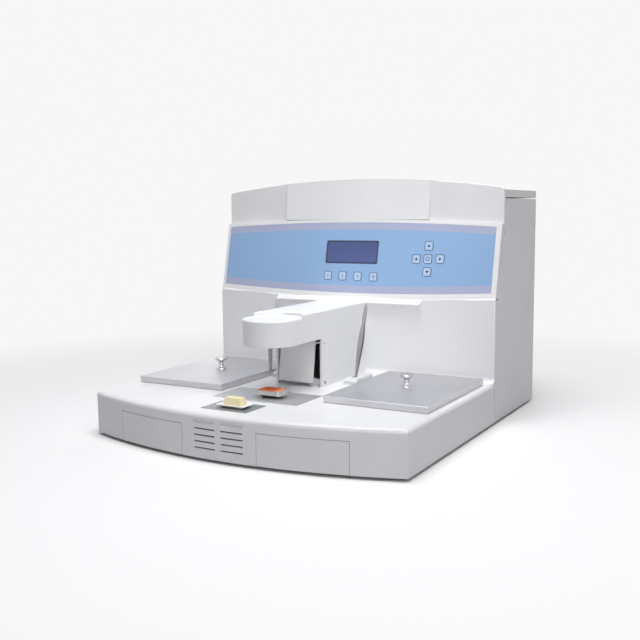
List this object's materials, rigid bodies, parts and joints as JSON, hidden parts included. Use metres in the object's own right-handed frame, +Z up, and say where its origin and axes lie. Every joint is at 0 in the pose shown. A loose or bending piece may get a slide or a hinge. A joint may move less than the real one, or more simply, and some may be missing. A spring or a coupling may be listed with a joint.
{
  "type": "tissue embedding station",
  "caption": "Benchtop tissue embedding station with a bowed warm deck, two lidded wells, a wax dispensing arm with nozzle and paddle, and a rear console cabinet.",
  "frame": {"origin": "middle of the whole station's underside, on the plane the feet stand on", "axes": "+X to the operator's right, +Y from the operator to the back, +Z up"},
  "size_m": [0.58, 0.654, 0.4356],
  "materials": {
    "white_paint": "satin white paint, faint orange peel",
    "paddle_paint": "satin pale grey paint",
    "zinc_steel": "zinc plated sheet",
    "foot_rubber": "matt black rubber",
    "black_plastic": "matt black moulding",
    "overlay_film": "printed membrane film, sky blue with mauve bands",
    "display_glass": "blue liquid crystal display with a dark rim",
    "key_film": "embossed membrane key with a dark outline",
    "circuit_board": "green solder mask",
    "stainless": "satin stainless sheet",
    "brushed_lid": "fine brushed stainless sheet",
    "heater_silicone": "brick red silicone heater",
    "chrome": "polished",
    "grey_plate": "hard anodised grey",
    "dark_plate": "hard anodised dark grey",
    "bare_aluminium": "extruded",
    "ceramic": "white alumina",
    "pale_plastic": "pale grey moulding",
    "orange_plastic": "orange acetal",
    "white_plastic": "white acetal",
    "wax": "cream paraffin wax"
  },
  "bodies": {
    "housing": {"deck_shell": "white_paint", "cabinet_side_left": "white_paint", "cabinet_side_right": "white_paint", "console_fascia": "white_paint", "rear_panel": "white_paint", "arm_housing": "white_paint", "arm_top_cover": "white_paint", "base_pan": "zinc_steel", "tank_deck": "zinc_steel", "drawer_runners": "zinc_steel", "lid_hinges": "zinc_steel", "power_supply": "zinc_steel", "feet": "foot_rubber", "vent_filter": "black_plastic", "column_grille": "black_plastic", "fan_frame": "black_plastic", "power_inlet": "black_plastic", "dispense_switch": "black_plastic", "solenoid_valve": "black_plastic", "control_overlay": "overlay_film", "display_screen": "display_glass", "control_board": "circuit_board", "main_board": "circuit_board", "paraffin_tank": "stainless", "well_tray_left": "stainless", "well_tray_right": "stainless", "wax_pipes": "stainless", "heater_mats": "heater_silicone", "nozzle": "chrome", "paddle_pin": "chrome", "screws": "chrome", "hot_plate": "grey_plate", "cold_plate": "dark_plate", "heat_sink": "bare_aluminium", "peltier_module": "ceramic", "forceps_holders": "pale_plastic"},
    "cabinet_lid": {"top_lid": "white_paint"},
    "right_well_lid": {"well_lid_right": "brushed_lid", "lid_knob_right": "chrome"},
    "left_well_lid": {"well_lid_left": "brushed_lid", "lid_knob_left": "chrome"},
    "right_drawer": {"drawer_right": "white_paint"},
    "left_drawer": {"drawer_left": "white_paint"},
    "paddle": {"dispense_paddle": "paddle_paint"},
    "power_switch": {"power_rocker": "black_plastic"},
    "fan": {"fan_rotor": "black_plastic"},
    "tweezers": {"forceps": "stainless"},
    "steel_mould": {"base_mould": "stainless"},
    "cassette": {"orange_cassette": "orange_plastic"},
    "wax_cast": {"white_cassette": "white_plastic", "wax_block": "wax"},
    "key_menu_1_cap": {"key_menu_1": "key_film"},
    "key_menu_2_cap": {"key_menu_2": "key_film"},
    "key_menu_3_cap": {"key_menu_3": "key_film"},
    "key_menu_4_cap": {"key_menu_4": "key_film"},
    "key_up_cap": {"key_up": "key_film"},
    "key_left_cap": {"key_left": "key_film"},
    "key_enter_cap": {"key_enter": "key_film"},
    "key_right_cap": {"key_right": "key_film"},
    "key_down_cap": {"key_down": "key_film"}
  },
  "joints": [
    {"name": "lid_opening", "type": "hinge", "parent": "housing", "child": "cabinet_lid", "pos_m": [0, 0.324, 0.3963], "axis": [-1, 0, 0], "range_deg": [0, 95]},
    {"name": "right_lid_lift", "type": "slide", "parent": "housing", "child": "right_well_lid", "axis": [0, 0, 1], "range_m": [0, 0.15]},
    {"name": "left_lid_lift", "type": "slide", "parent": "housing", "child": "left_well_lid", "axis": [0, 0, 1], "range_m": [0, 0.15]},
    {"name": "right_drawer_slide", "type": "slide", "parent": "housing", "child": "right_drawer", "axis": [0, -1, 0], "range_m": [0, 0.11]},
    {"name": "left_drawer_slide", "type": "slide", "parent": "housing", "child": "left_drawer", "axis": [0, -1, 0], "range_m": [0, 0.11]},
    {"name": "paddle_push", "type": "hinge", "parent": "housing", "child": "paddle", "pos_m": [0, -0.066, 0.151], "axis": [1, 0, 0], "range_deg": [0, 8], "stiffness_Nm_per_rad": 0.3, "springref_deg": -8.59},
    {"name": "rocker_press", "type": "hinge", "parent": "housing", "child": "power_switch", "pos_m": [-0.239, 0.3178, 0.057], "axis": [-1, 0, 0], "range_deg": [0, 14]},
    {"name": "fan_spin", "type": "hinge", "parent": "housing", "child": "fan", "pos_m": [0.001, -0.312, 0.037], "axis": [0, 1, 0], "continuous": true},
    {"name": "forceps_lift", "type": "slide", "parent": "housing", "child": "tweezers", "axis": [0, 0.3173, 0.9483], "range_m": [0, 0.1]},
    {"name": "mould_slide", "type": "slide", "parent": "housing", "child": "steel_mould", "axis": [0, -1, 0], "range_m": [-0.05, 0.05]},
    {"name": "cassette_lift", "type": "slide", "parent": "steel_mould", "child": "cassette", "axis": [0, 0, 1], "range_m": [0, 0.02]},
    {"name": "wax_cast_lift", "type": "slide", "parent": "housing", "child": "wax_cast", "axis": [0, 0, 1], "range_m": [0, 0.08]},
    {"name": "key_menu_1_press", "type": "slide", "parent": "housing", "child": "key_menu_1_cap", "axis": [0, 0.977, -0.2131], "range_m": [0, 0.0004], "stiffness_N_per_m": 400},
    {"name": "key_menu_2_press", "type": "slide", "parent": "housing", "child": "key_menu_2_cap", "axis": [0, 0.977, -0.2131], "range_m": [0, 0.0004], "stiffness_N_per_m": 400},
    {"name": "key_menu_3_press", "type": "slide", "parent": "housing", "child": "key_menu_3_cap", "axis": [0, 0.977, -0.2131], "range_m": [0, 0.0004], "stiffness_N_per_m": 400},
    {"name": "key_menu_4_press", "type": "slide", "parent": "housing", "child": "key_menu_4_cap", "axis": [0, 0.977, -0.2131], "range_m": [0, 0.0004], "stiffness_N_per_m": 400},
    {"name": "key_up_press", "type": "slide", "parent": "housing", "child": "key_up_cap", "axis": [0, 0.977, -0.2131], "range_m": [0, 0.0004], "stiffness_N_per_m": 400},
    {"name": "key_left_press", "type": "slide", "parent": "housing", "child": "key_left_cap", "axis": [0, 0.977, -0.2131], "range_m": [0, 0.0004], "stiffness_N_per_m": 400},
    {"name": "key_enter_press", "type": "slide", "parent": "housing", "child": "key_enter_cap", "axis": [0, 0.977, -0.2131], "range_m": [0, 0.0004], "stiffness_N_per_m": 400},
    {"name": "key_right_press", "type": "slide", "parent": "housing", "child": "key_right_cap", "axis": [0, 0.977, -0.2131], "range_m": [0, 0.0004], "stiffness_N_per_m": 400},
    {"name": "key_down_press", "type": "slide", "parent": "housing", "child": "key_down_cap", "axis": [0, 0.977, -0.2131], "range_m": [0, 0.0004], "stiffness_N_per_m": 400}
  ]
}
